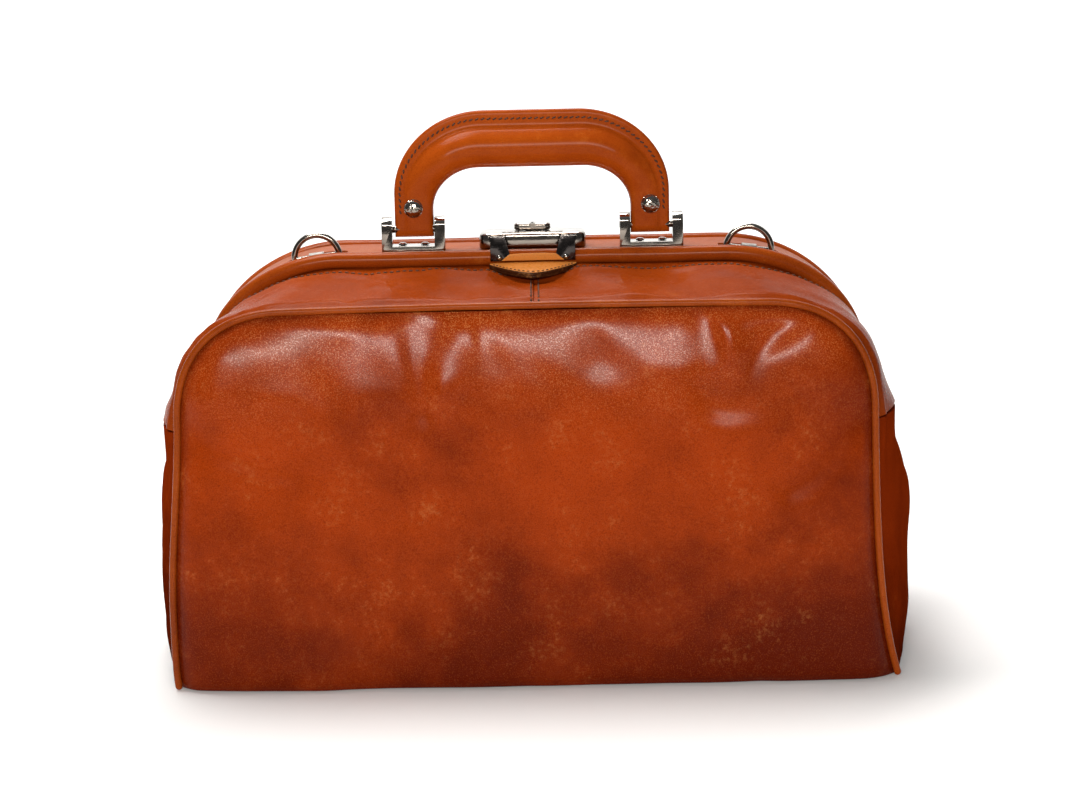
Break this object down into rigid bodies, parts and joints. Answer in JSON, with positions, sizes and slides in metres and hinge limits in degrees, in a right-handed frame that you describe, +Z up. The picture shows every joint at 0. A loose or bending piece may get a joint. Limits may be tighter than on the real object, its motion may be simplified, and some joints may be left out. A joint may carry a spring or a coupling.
{
  "type": "doctor bag",
  "caption": "Leather frame bag with a two-part hinged mouth frame, sliding top lock, padded swinging handle and strap rings.",
  "frame": {"origin": "centre of the base's underside", "axes": "+X to the bag's right seen from the front, -Y towards the front with the pull tab, +Z up"},
  "size_m": [0.4074, 0.197, 0.2927],
  "materials": {
    "body_leather": "glossy cognac leather",
    "gusset_leather": "glossy cognac leather",
    "roll_leather": "glossy cognac leather",
    "top_leather": "glossy cognac leather",
    "handle_leather": "polished tan leather",
    "tab_leather": "light tan leather with dark burnished edge",
    "base_leather": "satin brown leather",
    "nickel": "polished nickel plate",
    "frame_steel": "plain steel",
    "lining_cloth": "plain woven cotton",
    "fibre_board": "pressed fibre board",
    "core_cord": "twisted cord"
  },
  "bodies": {
    "bag_body": {"front_panel": "body_leather", "back_panel": "body_leather", "bottom_panel": "base_leather", "bottom_board": "fibre_board", "side_gusset_left": "gusset_leather", "side_gusset_right": "gusset_leather", "front_band_left": "body_leather", "front_band_right": "body_leather", "back_band_left": "body_leather", "back_band_right": "body_leather", "front_piping": "roll_leather", "back_piping": "roll_leather", "inner_lining": "lining_cloth", "hinge_anchor_left": "frame_steel", "hinge_anchor_right": "frame_steel", "frame_hinge_pin_left": "frame_steel", "frame_hinge_pin_right": "frame_steel"},
    "front_frame": {"front_frame_steel": "frame_steel", "front_frame_roll": "roll_leather", "striker_plate": "nickel", "striker_rivet_left": "nickel", "striker_rivet_right": "nickel"},
    "pull_tab": {"pull_tab": "tab_leather"},
    "back_frame": {"back_frame_steel": "frame_steel", "back_frame_roll": "roll_leather", "frame_top_strip": "top_leather", "lock_case": "nickel", "lock_base": "frame_steel", "lock_spring": "frame_steel", "handle_bracket_left": "nickel", "handle_bracket_right": "nickel", "handle_bar_left": "nickel", "handle_bar_right": "nickel", "bracket_screw_1": "nickel", "bracket_screw_2": "nickel", "bracket_screw_3": "nickel", "bracket_screw_4": "nickel", "ring_keeper_left": "nickel", "ring_keeper_right": "nickel"},
    "lock_slide": {"lock_knob": "nickel", "lock_bolt": "frame_steel"},
    "handle": {"handle_leather": "handle_leather", "handle_core": "core_cord", "handle_rivet_left": "nickel", "handle_rivet_right": "nickel"},
    "d_ring_left": {"d_ring_left": "nickel"},
    "d_ring_right": {"d_ring_right": "nickel"}
  },
  "joints": [
    {"name": "front_frame_hinge", "type": "hinge", "parent": "bag_body", "child": "front_frame", "pos_m": [0, 0, 0.1], "axis": [1, 0, 0], "range_deg": [0, 23], "deforming": ["front_band_left", "front_band_right"]},
    {"name": "back_frame_hinge", "type": "hinge", "parent": "bag_body", "child": "back_frame", "pos_m": [0, 0, 0.1], "axis": [-1, 0, 0], "range_deg": [0, 24], "deforming": ["back_band_left", "back_band_right"]},
    {"name": "handle_swing", "type": "hinge", "parent": "back_frame", "child": "handle", "pos_m": [0, -0.0105, 0.23], "axis": [1, 0, 0], "range_deg": [-75, 75]},
    {"name": "lock_slide", "type": "slide", "parent": "back_frame", "child": "lock_slide", "axis": [1, 0, 0], "range_m": [0, 0.005], "stiffness_N_per_m": 300, "springref_m": -0.002, "deforming": ["lock_spring"]},
    {"name": "pull_tab_flex", "type": "hinge", "parent": "front_frame", "child": "pull_tab", "pos_m": [0, -0.0283, 0.2116], "axis": [-1, 0, 0], "range_deg": [0, 50], "stiffness_Nm_per_rad": 0.01, "springref_deg": -11.46},
    {"name": "d_ring_left_swing", "type": "hinge", "parent": "back_frame", "child": "d_ring_left", "pos_m": [-0.1165, -0.011, 0.2156], "axis": [0.9925, 0, 0.1219], "range_deg": [-60, 55]},
    {"name": "d_ring_right_swing", "type": "hinge", "parent": "back_frame", "child": "d_ring_right", "pos_m": [0.1165, -0.011, 0.2156], "axis": [0.9925, 0, -0.1219], "range_deg": [-60, 55]}
  ]
}
